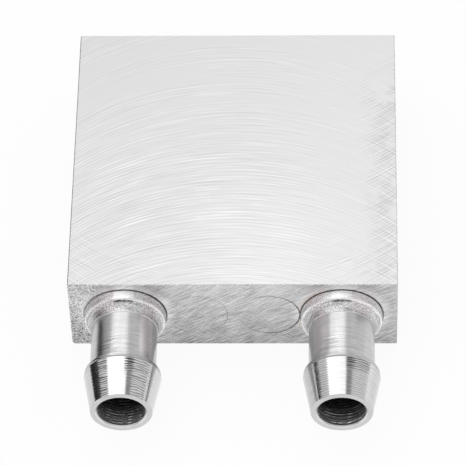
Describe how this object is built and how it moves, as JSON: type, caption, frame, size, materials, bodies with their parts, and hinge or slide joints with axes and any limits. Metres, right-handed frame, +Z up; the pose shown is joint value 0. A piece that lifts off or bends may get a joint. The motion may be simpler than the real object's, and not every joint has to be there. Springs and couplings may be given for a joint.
{
  "type": "liquid cooling cold plate",
  "caption": "Square aluminium block with drilled coolant channels inside, flat faces above and below, and hose barbs side by side on its front face.",
  "frame": {"origin": "middle of the block's underside, the face that rests on the heat source", "axes": "+Z up, out of the block's top face; -Y out of the front face, along the barbs; +X to the right seen from the front, so the inlet is at -X"},
  "size_m": [0.04, 0.0546, 0.012],
  "materials": {
    "milled_block": "fly-cut top and base, sanded sides",
    "turned_barb": "bright turned",
    "front_plug": "sanded flush",
    "side_plug": "sanded flush"
  },
  "bodies": {
    "root": {"block": "milled_block", "inlet_barb": "turned_barb", "outlet_barb": "turned_barb", "front_plug_left": "front_plug", "front_plug_right": "front_plug", "back_link_plug_left": "side_plug", "back_link_plug_right": "side_plug", "front_link_plug": "side_plug"}
  },
  "joints": []
}
